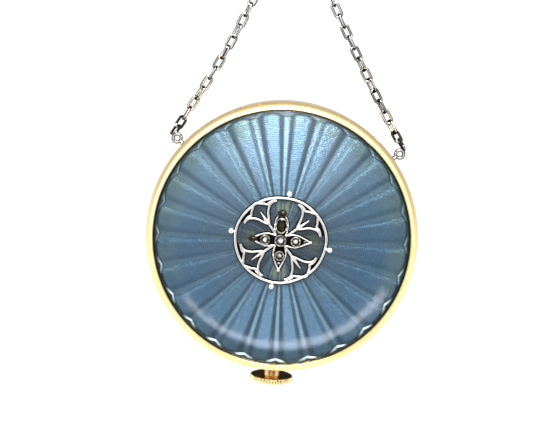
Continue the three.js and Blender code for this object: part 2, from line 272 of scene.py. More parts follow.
def rounded(profile, radius, steps=4):
    """The closed profile with each corner rounded off; a corner on the axis stays."""
    points = [Vector(p[:2]) for p in profile]
    sizes = [p[2] if len(p) > 2 else radius for p in profile]
    out = []
    for i, corner in enumerate(points):
        before, after = points[i - 1], points[(i + 1) % len(points)]
        if corner.x < 1e-6 or sizes[i] == 0:
            out.append(corner)
            continue
        into, away = before - corner, after - corner
        reach = min(sizes[i], into.length * 0.45, away.length * 0.45)
        a, b = corner + into.normalized() * reach, corner + away.normalized() * reach
        for k in range(steps + 1):
            t = k / steps
            out.append(a * (1 - t) ** 2 + corner * 2 * t * (1 - t) + b * t * t)
    return out


def bridge(mesh, rings, closed=False):
    """Faces between each ring of points and the next; closed joins the last ring to the first."""
    for a, b in zip(rings, rings[1:] + rings[:1] if closed else rings[1:]):
        for k in range(len(a)):
            n = (k + 1) % len(a)
            corners = list(dict.fromkeys((a[k], a[n], b[n], b[k])))
            if len(corners) > 2:
                mesh.faces.new(corners)


def lathe_mesh(profile, steps=ROUND):
    """A bmesh turned about Z from a closed list of (radius, height) in millimetres."""
    mesh = bmesh.new()
    rings = []
    for r, h in profile:
        if r < 1e-6:
            rings.append([mesh.verts.new((0, 0, h))] * steps)
            continue
        rings.append([
            mesh.verts.new((r * math.sin(TAU * k / steps), -r * math.cos(TAU * k / steps), h))
            for k in range(steps)
        ])
    bridge(mesh, rings, closed=True)
    return mesh


def place(mesh, turn=None, at=(0, 0, 0)):
    """Turns and moves a bmesh in millimetres about the box's axis, then puts it in the frame, in metres."""
    if turn is not None:
        bmesh.ops.transform(mesh, matrix=turn.to_4x4(), verts=mesh.verts)
    move = Matrix.Translation((AXIS + Vector(at)) * MM) @ Matrix.Scale(MM, 4)
    bmesh.ops.transform(mesh, matrix=move, verts=mesh.verts)
    return mesh


ALONG_Y = Matrix.Rotation(-math.pi / 2, 3, "X")  # takes +Z to +Y
ALONG_X = Matrix.Rotation(math.pi / 2, 3, "Y")  # takes +Z to +X


def lathe(name, profile, at=(0, 0, 0), turn=None, steps=ROUND):
    return object_from(place(lathe_mesh(profile, steps), turn, at), name)


def cut(piece, *cutters):
    """Takes the cutters out of the piece and removes them."""
    for cutter in cutters:
        tool = piece.modifiers.new("cut", "BOOLEAN")
        tool.operation = "DIFFERENCE"
        tool.solver = "EXACT"
        tool.object = cutter
    whole = bpy.context.evaluated_depsgraph_get()
    data = bpy.data.meshes.new_from_object(piece.evaluated_get(whole))
    piece.modifiers.clear()
    piece.data = data
    for cutter in cutters:
        bpy.data.objects.remove(cutter)


def sweep(mesh, points, radius, sides=10, closed=False, flat=1.0):
    """Adds a round wire through the points to a bmesh; radius may be a list, one for each point."""
    count = len(points)
    radii = radius if isinstance(radius, list) else [radius] * count
    rings = []
    normal = None
    for i, point in enumerate(points):
        after = points[(i + 1) % count] if closed or i + 1 < count else point
        before = points[i - 1] if closed or i > 0 else point
        along = (after - before).normalized()
        if normal is None:
            hint = Vector((0, 0, 1)) if abs(along.z) < 0.9 else Vector((1, 0, 0))
            normal = hint.cross(along).normalized()
        normal = (normal - along * normal.dot(along)).normalized()
        other = along.cross(normal)
        rings.append([
            mesh.verts.new(
                point
                + normal * radii[i] * math.cos(TAU * k / sides)
                + other * radii[i] * flat * math.sin(TAU * k / sides)
            )
            for k in range(sides)
        ])
    bridge(mesh, rings, closed)
    if not closed:
        mesh.faces.new(rings[0])
        mesh.faces.new(rings[-1])


def smooth_line(points, steps):
    """Points on a Catmull-Rom line through the given ones, evenly spread by parameter."""
    points = [Vector(p) for p in points]
    ends = [2 * points[0] - points[1], *points, 2 * points[-1] - points[-2]]
    out = []
    for i in range(len(points) - 1):
        a, b, c, d = ends[i : i + 4]
        for k in range(steps):
            t = k / steps
            square, cube = 2 * a - 5 * b + 4 * c - d, 3 * b - a - 3 * c + d
            out.append(0.5 * ((2 * b) + (c - a) * t + square * t**2 + cube * t**3))
    out.append(points[-1])
    return out


# ---------------------------------------------------------------- materials


def principled(name):
    mat = bpy.data.materials.new(name)
    mat.use_nodes = True
    return mat, mat.node_tree, mat.node_tree.nodes["Principled BSDF"]


def noise(tree, scale, detail=3, stretch=(1, 1, 1), rough=0.5):
    """A noise texture in the piece's own space; scale is in waves per metre."""
    where = tree.nodes.new("ShaderNodeTexCoord")
    mapping = tree.nodes.new("ShaderNodeMapping")
    mapping.inputs["Scale"].default_value = stretch
    texture = tree.nodes.new("ShaderNodeTexNoise")
    texture.inputs["Scale"].default_value = scale
    texture.inputs["Detail"].default_value = detail
    texture.inputs["Roughness"].default_value = rough
    tree.links.new(where.outputs["Object"], mapping.inputs[0])
    tree.links.new(mapping.outputs[0], texture.inputs["Vector"])
    return texture.outputs["Fac"]


def remap(tree, value, low, high, to_low, to_high):
    node = tree.nodes.new("ShaderNodeMapRange")
    tree.links.new(value, node.inputs["Value"])
    for socket, number in zip(("From Min", "From Max", "To Min", "To Max"), (low, high, to_low, to_high)):
        node.inputs[socket].default_value = number
    return node.outputs[0]


def blend_colours(tree, share, first, second):
    """A colour between two; each is a colour or a socket."""
    node = tree.nodes.new("ShaderNodeMix")
    node.data_type = "RGBA"
    tree.links.new(share, node.inputs["Factor"])
    for socket, colour in ((node.inputs[6], first), (node.inputs[7], second)):
        if isinstance(colour, tuple):
            socket.default_value = (*colour, 1)
        else:
            tree.links.new(colour, socket)
    return node.outputs[2]


def bump(tree, shader, height, distance):
    node = tree.nodes.new("ShaderNodeBump")
    node.inputs["Strength"].default_value = 1
    node.inputs["Distance"].default_value = distance
    tree.links.new(height, node.inputs["Height"])
    tree.links.new(node.outputs[0], shader.inputs["Normal"])


def math_node(tree, operation, first, second=None, third=None):
    """A Math node; each input is a number or a socket."""
    node = tree.nodes.new("ShaderNodeMath")
    node.operation = operation
    for socket, value in zip(node.inputs, (first, second, third)):
        if isinstance(value, (int, float)):
            socket.default_value = value
        elif value is not None:
            tree.links.new(value, socket)
    return node.outputs[0]


def product(tree, first, *others):
    """All the factors multiplied; each is a number or a socket."""
    for factor in others:
        first = math_node(tree, "MULTIPLY", first, factor)
    return first


def tint(tree, under, colour, *factors):
    """Lays a colour over another by a product; each factor is a socket, or what remap takes."""
    shares = [remap(tree, *factor) if isinstance(factor, tuple) else factor for factor in factors]
    return blend_colours(tree, product(tree, *shares), under, colour)


def axes(tree, space="Object"):
    """Sockets for X, Y and Z in the piece's own space or another."""
    where = tree.nodes.new("ShaderNodeTexCoord")
    split = tree.nodes.new("ShaderNodeSeparateXYZ")
    tree.links.new(where.outputs[space], split.inputs[0])
    return split.outputs


def polar(tree):
    """Sockets for the distance from the box's axis in mm, and the turn from +Y, clockwise from above."""
    across, along, _ = axes(tree)
    x = math_node(tree, "MULTIPLY_ADD", across, 1 / MM, -AXIS.x)
    y = math_node(tree, "MULTIPLY_ADD", along, 1 / MM, -AXIS.y)
    squares = math_node(tree, "MULTIPLY_ADD", x, x, product(tree, y, y))
    return math_node(tree, "SQRT", squares), math_node(tree, "ARCTAN2", x, y)


def metal(name, light, dark, rough, grain=900, scratch=0.000004, stretch=(1, 1, 1), patch=260):
    """A polished metal: patches of tone and roughness, and fine handling scratches."""
    mat, tree, shader = principled(name)
    shader.inputs["Metallic"].default_value = 1
    patches = noise(tree, patch, 4)
    colour = blend_colours(tree, remap(tree, patches, 0.35, 0.65, 0, 1), light, dark)
    tree.links.new(colour, shader.inputs["Base Color"])
    fine = noise(tree, grain, 5, stretch, 0.65)
    tree.links.new(remap(tree, fine, 0.3, 0.7, rough[0], rough[1]), shader.inputs["Roughness"])
    bump(tree, shader, noise(tree, grain * 3, 3, stretch), scratch)
    return mat


def shaded_back_edge(mat):
    """Gold whose outer edge is painted a little redder and darker, most at the back: painted shade."""
    tree = mat.node_tree
    base = tree.nodes["Principled BSDF"].inputs["Base Color"]
    radius, turn = polar(tree)
    edge = (radius, RIM_RADIUS - 0.75, RIM_RADIUS - 0.1, 0, 0.6)
    back = (math_node(tree, "COSINE", turn), -0.3, 0.6, 0.15, 1)
    tree.links.new(tint(tree, base.links[0].from_socket, (0.6, 0.38, 0.13), edge, back), base)
    return mat


def mottled_blue(tree):
    """The enamel's own blue: cloudy, with pale specks and a little dark dust in it."""
    cloud = remap(tree, noise(tree, 130, 3), 0.35, 0.68, 0, 1)
    blue = blend_colours(tree, cloud, (0.135, 0.24, 0.36), (0.17, 0.275, 0.395))
    blue = tint(tree, blue, (0.33, 0.5, 0.6), (noise(tree, 2600, 2), 0.62, 0.72, 0, 0.55))
    return tint(tree, blue, (0.02, 0.04, 0.06), (noise(tree, 900, 1), 0.775, 0.80, 0, 0.7))


def lit_shoulders(tree, blue, radius, turn, toward_hinge):
    """Painted light: paler to the left and right of the back, and greener towards the flutes' ends except in
    front.
    """
    left_back = math_node(tree, "COSINE", math_node(tree, "ADD", turn, math.radians(12)))
    blue = tint(
        tree, blue, (0.4, 0.51, 0.6),
        (left_back, 0, 0.92, 0.12, 0.5),
        (radius, 8, 15, 0.1, 1),
        (toward_hinge, 0.9, 1, 1, 0.02),
        (toward_hinge, -0.2, 0.3, 0, 1),
    )
    return tint(
        tree, blue, (0.26, 0.35, 0.35),
        (radius, 14.8, 16.6, 0, 0.75),
        (noise(tree, 340, 3), 0.38, 0.56, 0.15, 1),
        (toward_hinge, -0.75, -0.2, 0, 1),
    )


def grooves(tree, blue, radius, toward_hinge, from_groove):
    """Dark on a groove's two flanks, partly deeper enamel and partly painted shade, and a painted highlight
    pale along its bottom, most at the back and in front.
    """
    facing = math_node(tree, "MULTIPLY_ADD", product(tree, toward_hinge, toward_hinge), 0.45, 0.25)
    # Painted shade, with deeper enamel, on the flanks.
    flanks = (from_groove, 0.05, 0.11, 0, 1), (from_groove, 0.2, 0.31, 1, 0)
    blue = tint(tree, blue, (0.015, 0.045, 0.07), *flanks, facing)
    # Painted highlight along the groove's bottom.
    bottom = (from_groove, 0.035, 0.09, 0.7, 0), (radius, 15.5, 17.3, 1, 0.1)
    return tint(tree, blue, (0.36, 0.47, 0.53), *bottom, facing)


def near_ornament(tree, blue, radius, turn):
    """Darker towards the ornament, with painted shade under it, and a tea-coloured painted reflection of its
    arms along them.
    """
    blue = tint(tree, blue, (0.05, 0.1, 0.13), (radius, 7, 13, 0.3, 0))
    # Painted shade under the ornament.
    blue = tint(tree, blue, (0.02, 0.04, 0.05), (radius, 6.0, 6.6, 0.6, 0))
    # Painted reflection of the arms, tea-coloured, along them.
    arms = (math_node(tree, "COSINE", product(tree, turn, 4)), 0.3, 0.9, 0, 0.45)
    return tint(tree, blue, (0.26, 0.25, 0.11), arms, (radius, 3, 4.2, 0, 1), (radius, 4.8, 6, 1, 0))


def border(tree, blue, radius, toward_hinge, from_groove):
    """The scalloped border, with painted light and shade: darker towards the edge in front, outlined, a pale
    highlight crescent at each groove's end, brightest in front, and a shadow at the rim.
    """
    bulge = product(tree, from_groove, math_node(tree, "SUBTRACT", 1, from_groove))
    scallop = math_node(tree, "MULTIPLY_ADD", bulge, 4 * SCALLOP, NOTCH_RADIUS)
    past_end = math_node(tree, "SUBTRACT", radius, scallop)
    # Painted shade towards the edge, strongest in front.
    front_shade = (radius, 16, 16.8, 0, 0.7), (toward_hinge, -0.98, -0.6, 1, 0.1)
    blue = tint(tree, blue, (0.015, 0.04, 0.05), *front_shade)
    # A dark outline just inside the scallops' ends, partly deeper enamel and partly painted shade.
    blue = tint(tree, blue, (0.03, 0.07, 0.09), (past_end, -0.2, -0.02, 0, 0.75))
    # The border's blue, darker in front: painted shade.
    rail = tint(tree, (0.02, 0.045, 0.06), (0.09, 0.155, 0.19), (toward_hinge, -0.7, 0.3, 0, 1))
    # Painted highlight: a pale crescent at each groove's end, brightest in front.
    crescent = (past_end, 0.28, 0.42, 1, 0), (from_groove, 0.12, 0.3, 1, 0)
    rail = tint(tree, rail, (0.9, 0.97, 0.99), *crescent, (toward_hinge, -0.5, 0.1, 1, 0.3))
    blue = tint(tree, blue, rail, (past_end, 0.0, 0.08, 0, 1))
    # Painted shadow where the enamel meets the rim.
    return tint(tree, blue, (0.012, 0.02, 0.016), (radius, 18.42, 18.56, 0, 1))


def shade_under_sprays(tree, blue, radius, turn):
    """Painted shade between the ornament's sprays and the plate."""
    sprays = math_node(tree, "MULTIPLY_ADD", turn, 4, -4 * math.radians(TWIST + 45))
    across = (math_node(tree, "COSINE", sprays), -0.35, 0.25, 0, 1)
    along = (radius, 2.4, 3.4, 0, 1), (radius, 6.1, 6.5, 0.85, 0)
    return tint(tree, blue, (0.02, 0.045, 0.07), across, *along)


def engraving(tree, shader, radius, turn):
    """Fine wavy rings and a grain, cut so that the plate shines along its spokes."""
    spoke = tree.nodes.new("ShaderNodeCombineXYZ")
    tree.links.new(math_node(tree, "SINE", turn), spoke.inputs["X"])
    tree.links.new(math_node(tree, "COSINE", turn), spoke.inputs["Y"])
    tree.links.new(spoke.outputs[0], shader.inputs["Tangent"])
    wavy = math_node(tree, "MULTIPLY_ADD", noise(tree, 700, 2), 0.5, radius)
    rings = math_node(tree, "SINE", product(tree, wavy, TAU / RING_SPACING))
    grain = math_node(tree, "MULTIPLY_ADD", rings, 0.16, noise(tree, 3200, 3))
    grain = math_node(tree, "MULTIPLY_ADD", noise(tree, 900, 3), 1.2, grain)
    bump(tree, shader, grain, 0.00006)


def guilloche(name):
    """Engine-turned metal under blue enamel, whose tints follow the flutes, the border and the ornament.

    Some of its light and shade is set by the direction from the axis: toward_hinge is 1 at the hinge
    and -1 at the button.
    """
    mat, tree, shader = principled(name)
    shader.inputs["Metallic"].default_value = 0.9
    shader.inputs["Anisotropic"].default_value = 0.9
    radius, turn = polar(tree)
    toward_hinge = math_node(tree, "COSINE", turn)
    flutes = math_node(tree, "MULTIPLY_ADD", turn, FLUTES / TAU, -FLUTE_TURN * FLUTES / TAU)
    from_groove = math_node(tree, "PINGPONG", flutes, 0.5)

    blue = mottled_blue(tree)
    blue = lit_shoulders(tree, blue, radius, turn, toward_hinge)
    blue = grooves(tree, blue, radius, toward_hinge, from_groove)
    blue = near_ornament(tree, blue, radius, turn)
    blue = border(tree, blue, radius, toward_hinge, from_groove)
    tree.links.new(shade_under_sprays(tree, blue, radius, turn), shader.inputs["Base Color"])

    sides = math_node(tree, "MULTIPLY_ADD", product(tree, toward_hinge, toward_hinge), -0.24, 0.24)
    worn = remap(tree, noise(tree, 1800, 4), 0.3, 0.7, 0.36, 0.46)
    tree.links.new(math_node(tree, "ADD", worn, sides), shader.inputs["Roughness"])
    engraving(tree, shader, radius, turn)
    return mat


def enamel_glass():
    """Clear polished enamel: it lets the plate show through and mirrors by Fresnel, on its outside only."""
    mat = bpy.data.materials.new("enamel_glass")
    mat.use_nodes = True
    tree = mat.node_tree
    tree.nodes.remove(tree.nodes["Principled BSDF"])
    out = tree.nodes["Material Output"]
    clear = tree.nodes.new("ShaderNodeBsdfTransparent")
    clear.inputs["Color"].default_value = (0.93, 0.97, 0.985, 1)
    gloss = tree.nodes.new("ShaderNodeBsdfGlossy")
    gloss.inputs["Color"].default_value = (1, 1, 1, 1)
    gloss.inputs["Roughness"].default_value = 0.1
    fresnel = tree.nodes.new("ShaderNodeFresnel")
    fresnel.inputs["IOR"].default_value = 1.6
    geometry = tree.nodes.new("ShaderNodeNewGeometry")
    outside = math_node(tree, "SUBTRACT", 1, geometry.outputs["Backfacing"])
    mix = tree.nodes.new("ShaderNodeMixShader")
    sources = (product(tree, fresnel.outputs[0], outside), clear.outputs[0], gloss.outputs[0])
    for source, socket in zip(sources, mix.inputs):
        tree.links.new(source, socket)
    bump(tree, gloss, noise(tree, 420, 2), 0.00002)
    tree.links.new(mix.outputs[0], out.inputs["Surface"])
    return mat


def stone_material(name, light, dark, metallic, polish=1.0):
    mat, tree, shader = principled(name)
    shader.inputs["Metallic"].default_value = metallic
    shader.inputs["Coat Weight"].default_value = polish
    shader.inputs["Specular IOR Level"].default_value = 0.5 * polish
    shader.inputs["Coat Roughness"].default_value = 0.02
    colour = blend_colours(tree, remap(tree, noise(tree, 1500, 2), 0.4, 0.6, 0, 1), light, dark)
    tree.links.new(colour, shader.inputs["Base Color"])
    tree.links.new(remap(tree, noise(tree, 2500, 2), 0.3, 0.7, 0.04, 0.12), shader.inputs["Roughness"])
    return mat


def make_materials():
    return {
        "gold": metal("pale_gold", (0.95, 0.77, 0.40), (0.90, 0.70, 0.33), (0.10, 0.2)),
        "rim": shaded_back_edge(metal("rim_gold", (0.95, 0.77, 0.40), (0.90, 0.70, 0.33), (0.10, 0.2))),
        "gilt": metal("satin_gilt", (0.90, 0.70, 0.36), (0.84, 0.63, 0.30), (0.26, 0.4), grain=1400),
        "platinum": metal("platinum", (0.90, 0.89, 0.87), (0.80, 0.79, 0.77), (0.12, 0.26)),
        "silver": metal("worn_silver", (0.84, 0.83, 0.81), (0.56, 0.55, 0.54), (0.16, 0.3), grain=1600),
        "darker_gold": metal("darker_hub_gold", (0.62, 0.38, 0.17), (0.40, 0.22, 0.08), (0.2, 0.35), grain=1400),
        "steel": metal(
            "ground_steel", (0.52, 0.53, 0.55), (0.44, 0.45, 0.47), (0.25, 0.42), stretch=(1, 8, 1)
        ),
        "guilloche": guilloche("blue_guilloche"),
        "enamel": enamel_glass(),
        # A near-black metal for the painted shade under and between the openwork.
        "painted_shade": metal("painted_shade_black", (0.009, 0.008, 0.007), (0.004, 0.004, 0.003), (0.5, 0.7)),
        "grained": metal(
            "grained_platinum", (0.70, 0.66, 0.58), (0.16, 0.14, 0.11), (0.2, 0.4), grain=2600, patch=1500
        ),
        "diamond": stone_material("foiled_diamond", (0.72, 0.74, 0.76), (0.10, 0.11, 0.12), 0.75),
        "dark_stone": stone_material("dark_diamond", (0.03, 0.024, 0.015), (0.006, 0.005, 0.004), 0.2, 0.2),
        "underside_shade": metal(
            "shaded_silver", (0.04, 0.036, 0.032), (0.015, 0.013, 0.012), (0.35, 0.5), grain=1600
        ),
    }


# ---------------------------------------------------------------- rims and linings


def hinge_cutter():
    radius, half = 0.54, 2.55
    profile = [(0, -half), (radius, -half), (radius, half), (0, half)]
    return lathe("hinge_cutter", profile, (0, HINGE_Y, PARTING), ALONG_X, 48)


def bush_cutter():
    profile = [(0, -22), (1.4, -22), (1.4, -17.05), (0, -17.05)]
    return lathe("bush_cutter", profile, (0, 0, BUTTON_Z), ALONG_Y, 48)


def make_rims(mats):
    """Gold bands of (radius, height, rounding), which narrow to a groove at the parting line."""
    edge = PARTING - PARTING_GAP
    base = [
        (RIM_BORE, 0.2), (18.95, 0, 0.05), (19.45, 0, 0.2), (19.85, 0.45, 0.3), (RIM_RADIUS, 1.2, 0.5),
        (RIM_RADIUS, 4.7, 0.5), (19.85, 5.4, 0.3), (19.54, edge, 0.12), (RIM_BORE, edge),
    ]
    rim = lathe("base_rim_turned", rounded(base, 0.06, 5))
    cut(rim, hinge_cutter(), bush_cutter())
    finish_piece(rim, mats["rim"], "gold", "base", "base_rim")

    edge = PARTING + PARTING_GAP
    lid = [
        (RIM_BORE, edge), (19.54, edge, 0.12), (19.85, 6.6, 0.3), (RIM_RADIUS, 7.3, 0.6),
        (RIM_RADIUS, 8.5, 0.6), (19.8, 9.35, 0.5), (19.3, 9.9, 0.6), (18.9, LID_TOP, 0.12),
        (RIM_BORE, LID_TOP - 0.06, 0.05),
    ]
    bezel = lathe("lid_rim_turned", rounded(lid, 0.06, 5))
    cut(bezel, hinge_cutter())
    finish_piece(bezel, mats["rim"], "gold", "lid", "lid_rim")


def make_linings(mats):
    """A pan in the base whose lip the lid closes over, and a shallow cap in the lid."""
    edge = PARTING - PARTING_GAP
    pan = [
        (0, 1.5), (INSERT_RADIUS, 1.5), (INSERT_RADIUS, edge), (18.45, edge, 0.04),
        (18.45, 6.9, 0.1), (18.15, 6.9, 0.1), (18.15, 1.9, 0.9), (0, 1.9),
    ]
    inner = lathe("base_lining_spun", rounded(pan, 0.05, 5))
    cut(inner, bush_cutter())
    finish_piece(inner, mats["gilt"], "gilt", "base", "base_lining")
    edge = PARTING + PARTING_GAP
    cap = [
        (0, 8.5), (18.53, 8.5, 0.6), (18.53, edge, 0.05), (INSERT_RADIUS, edge, 0.05),
        (INSERT_RADIUS, 8.85), (0, 8.85),
    ]
    roof = lathe("lid_lining_spun", rounded(cap, 0.05, 5))
    finish_piece(roof, mats["gilt"], "gilt", "lid", "lid_lining")


# ---------------------------------------------------------------- fluted plates and enamel


def dome(radius, rise):
    """The dome's height over its edge."""
    return rise * (1 - (radius / INSERT_RADIUS) ** 3)


def fluted_height(radius, part, surface):
    """Height of the plate under its enamel: part runs 0 to 1 across one flute."""
    across = abs(2 * part - 1)
    scallop = NOTCH_RADIUS + SCALLOP * (1 - across**2)
    flank = min(max((across - 0.4) / 0.45, 0), 1)
    drop = FLUTE_SLOPE * radius * (0.15 * across**2 + 0.85 * flank * flank * (3 - 2 * flank))
    flute = surface - 0.14 - drop
    border = surface - 0.5 + min(0.7 * max(radius - scallop, 0), 0.22)
    step = min(max((radius - scallop + 0.55) / 0.55, 0), 1)
    ease = 1 - math.sqrt(max(1 - step * step, 0))
    return flute * (1 - ease) + border * ease


def fluted_plate(name, edge, rise, outward):
    """A disc whose outer face carries the flutes and whose inner face is smooth; outward is 1 up, -1 down."""
    across_steps = 20
    steps = FLUTES * across_steps
    radii = [0.35 * (1.19**k) for k in range(14)]
    radii += [radii[-1] + (15.8 - radii[-1]) * k / 20 for k in range(1, 21)]
    radii += [15.8 + (18.5 - 15.8) * k / 30 for k in range(1, 31)] + [INSERT_RADIUS]
    mesh = bmesh.new()
    middle = mesh.verts.new((0, 0, edge + outward * (rise - 0.3)))
    rings = []
    for radius in radii:
        ring = []
        for k in range(steps):
            turn = TAU * (k / steps) + FLUTE_TURN
            part = (k % across_steps) / across_steps
            height = edge + outward * fluted_height(radius, part, dome(radius, rise))
            ring.append(mesh.verts.new((radius * math.sin(turn), radius * math.cos(turn), height)))
        rings.append(ring)
    back = [mesh.verts.new((v.co.x, v.co.y, edge - outward * 0.75)) for v in rings[-1]]
    rings.append(back)
    for k in range(steps):
        mesh.faces.new((middle, rings[0][k], rings[0][(k + 1) % steps]))
    bridge(mesh, rings)
    mesh.faces.new(back)
    return object_from(place(mesh), name)


def enamel_lens(name, edge, rise, outward, thickness):
    """A polished skin of enamel: domed outside, flat sides, its inside just over the plate's crests."""
    radii = [INSERT_RADIUS * math.sin(math.pi / 2 * k / 40) for k in range(41)]
    outer = [(r, edge + outward * dome(r, rise)) for r in radii]
    inner = [(r, h - outward * thickness) for r, h in outer]
    return lathe(name, [*inner, *reversed(outer)])


def make_enamels(mats):
    """A fluted plate and its enamel for each body: (body, edge, rise, outward)."""
    for body, *shape in (("lid", DOME_EDGE, DOME_RISE, 1), ("base", 0.85, 0.35, -1)):
        plate = fluted_plate(f"{body}_plate_fluted", *shape)
        finish_piece(plate, mats["guilloche"], "silver", body, f"{body}_guilloche_plate", degrees=14)
        skin = enamel_lens(f"{body}_enamel_skin", *shape, 0.1)
        finish_piece(skin, mats["enamel"], "enamel", body, f"{body}_enamel")


# ---------------------------------------------------------------- hinge and button


def make_hinge(mats):
    names = ["base_left", "lid_left", "base_middle", "lid_right", "base_right"]
    pitch, half, bore, outer = 1, 0.46, 0.25, 0.48
    for i, name in enumerate(names):
        profile = rounded([(bore, -half), (outer, -half), (outer, half), (bore, half)], 0.07, 3)
        knuckle = lathe(f"knuckle_{name}", profile, ((i - 2) * pitch, HINGE_Y, PARTING), ALONG_X, 32)
        finish_piece(knuckle, mats["gold"], "gold", name.split("_")[0], f"hinge_knuckle_{name}")
    pin = [(0, -2.49), (0.2, -2.49), (0.2, 2.49), (0, 2.49)]
    rod = lathe("hinge_pin_rounded", rounded(pin, 0.08, 3), (0, HINGE_Y, PARTING), ALONG_X, 24)
    finish_piece(rod, mats["steel"], "steel", "base", "hinge_pin")


def knurled_head():
    """The button's head: a disc with a knurled edge, and a hub whose groove takes the spring's end."""
    teeth, radius, notch = 40, 3.25, 0.15
    outer, inner = HEAD_OUTER_Y, HEAD_OUTER_Y + 0.9
    disc = [
        (0, outer + 0.02, 0), (1.6, outer, 0), (2.65, outer + 0.03, 0), (2.95, outer + 0.08, 0.2),
        (3.18, outer + 0.16, 0.9), (radius, outer + 0.24, 1), (radius, inner - 0.12, 1),
        (3.2, inner - 0.05, 0.8), (3.06, inner, 0), (1.5, inner, 0), (1.32, inner + 0.06, 0),
    ]
    hub = [
        (1.25, inner + 0.2, 0), (1.25, inner + 1.09, 0), (1.2, inner + 1.15, 0), (1.02, inner + 1.15, 0),
        (0.97, inner + 1.1, 0), (0.97, inner + 0.35, 0), (0.62, inner + 0.35, 0),
        (0.62, inner + 1.12, 0), (0, inner + 1.12, 0),
    ]
    mesh = bmesh.new()
    steps = teeth * 6
    rings = []
    for r, h, cut_in in disc + hub:
        if r == 0:
            rings.append([mesh.verts.new((0, 0, h))] * steps)
            continue
        ring = []
        for k in range(steps):
            wave = abs(math.sin(math.pi * k / 6))
            size = r - notch * cut_in * (1 - wave) * r / radius
            turn = TAU * k / steps
            ring.append(mesh.verts.new((size * math.cos(turn), size * math.sin(turn), h)))
        rings.append(ring)
    bridge(mesh, rings)
    return object_from(place(mesh, ALONG_Y, (0, 0, BUTTON_Z)), "button_head_knurled")


def make_button(mats):
    """The head, whose hub is a darker gold, with its bush, stem and spring, and the catch's steel parts."""
    head = knurled_head()
    finish_piece(head, mats["gold"], "gold", "button", "button_head", degrees=30)
    head.data.materials.append(mats["darker_gold"])
    for face in head.data.polygons:
        offset = face.center / MM - AXIS - Vector((0, 0, BUTTON_Z))
        if math.hypot(offset.x, offset.z) < 1.3 and offset.y > HEAD_OUTER_Y + 0.95:
            face.material_index = 1
    sleeve = [(1.05, -20.05), (1.3, -20.05), (1.3, -17.35), (0.66, -17.35), (0.66, -18.3), (1.05, -18.3)]
    bush = lathe("button_bush_turned", rounded(sleeve, 0.06, 3), (0, 0, BUTTON_Z), ALONG_Y, 64)
    finish_piece(bush, mats["gold"], "gold", "base", "button_bush")
    stem = rounded([(0, -20.7), (0.58, -20.7), (0.58, -15.35), (0, -15.35)], 0.12, 3)
    rod = lathe("button_stem_turned", stem, (0, 0, BUTTON_Z), ALONG_Y, 32)
    finish_piece(rod, mats["steel"], "steel", "button", "button_stem")
    make_spring(mats)
    for node in ("catch_hook", "stem_nut", "lid_strike"):
        dress_node(node, mats["steel"], 0.05)


def make_spring(mats):
    turns, samples, radius, first_y, length = 4, 160, 0.83, -20.63, 2.21
    line = []
    for i in range(samples + 1):
        share = i / samples
        turn = share * turns * TAU
        line.append(Vector((radius * math.cos(turn), first_y + length * share, radius * math.sin(turn))))
    mesh = bmesh.new()
    sweep(mesh, line, 0.09, 8)
    spring = object_from(place(mesh, None, (0, 0, BUTTON_Z)), "catch_spring_wound")
    finish_piece(spring, mats["steel"], "steel", "base", "catch_spring", degrees=60)


def dress_node(node, material, softening):
    """A CAD node that stays: broken edges and its material."""
    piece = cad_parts[node]
    for slot in piece.material_slots:
        slot.material = material
    bevel = piece.modifiers.new("broken_edges", "BEVEL")
    bevel.width = softening * MM
    bevel.segments = 2
    bevel.limit_method = "ANGLE"


# ---------------------------------------------------------------- ornament


ORNAMENT_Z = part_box("ornament_openwork")[0].z / MM
OVAL = (6.55, 6.17)
OFF_CENTRE = Vector((-0.13, 0.13, 0))
# Half a spray: lines of (outward, sideways) with the wire's radius at points along each.
SPRAY_LINES = [
    (
        [(2.9, 0.1), (3.6, 0.5), (4.4, 0.95), (5.0, 1.6), (5.2, 2.2), (5.05, 2.8)],
        (0.18, 0.16, 0.16, 0.18, 0.2, 0.2),
    ),
    ([(5.05, 2.8), (5.38, 1.97), (5.35, 1.4), (5.65, 1.15)], (0.2, 0.19, 0.17, 0.16)),
    ([(5.65, 1.15), (5.95, 0.75), (6.35, 0.25), (6.45, 0)], (0.16, 0.16, 0.18, 0.19)),
]
ARM_OUTLINE = [(0.8, 0.7), (1.5, 0.86), (2.2, 0.88), (2.9, 0.66), (3.6, 0.36), (4.25, 0.06)]
BACK_ARM_OUTLINE = [(0.8, 0.7), (1.5, 0.86), (2.2, 0.92), (2.9, 0.8), (3.4, 0.6)]


def outward(degrees):
    """A turn that takes +X to a direction round the ornament, clockwise from +Y as seen from above."""
    return Matrix.Rotation(math.pi / 2 - math.radians(degrees), 3, "Z")


def darkened(mesh, first_face):
    """Gives the faces made since first_face the second material, a near-black one for painted shade."""
    for face in list(mesh.faces)[first_face:]:
        face.material_index = 1


def shadow_ribbon_under(mesh, points, radii, closed=False):
    """A painted shadow: a thin dark ribbon on the enamel under a wire, a little wider than it."""
    first = len(mesh.faces)
    drop = Vector((0, 0, ORNAMENT_Z + 0.07 - points[0].z))
    sweep(mesh, [p + drop for p in points], [r + 0.13 for r in radii], 8, closed, flat=0.2)
    darkened(mesh, first)


def wire_on_sheet(mesh, line, widths, turn, height, steps=7):
    """A half-round wire of the openwork, laid along a line given in the sheet's plane."""
    points = [turn @ p for p in smooth_line([(x, y, height) for x, y in line], steps)]
    radii = []
    for i in range(len(points)):
        along = i / (len(points) - 1) * (len(widths) - 1)
        low = min(int(along), len(widths) - 2)
        radii.append(widths[low] + (widths[low + 1] - widths[low]) * (along - low))
    sweep(mesh, points, radii, 10)
    shadow_ribbon_under(mesh, points, radii)


def thin_plate(mesh, outline, low, high):
    """A flat dark plate between two heights inside an outline."""
    first = len(mesh.faces)
    rows = [[mesh.verts.new((p.x, p.y, height)) for p in outline] for height in (low, high)]
    for row in rows:
        mesh.faces.new(row)
    bridge(mesh, rows)
    darkened(mesh, first)


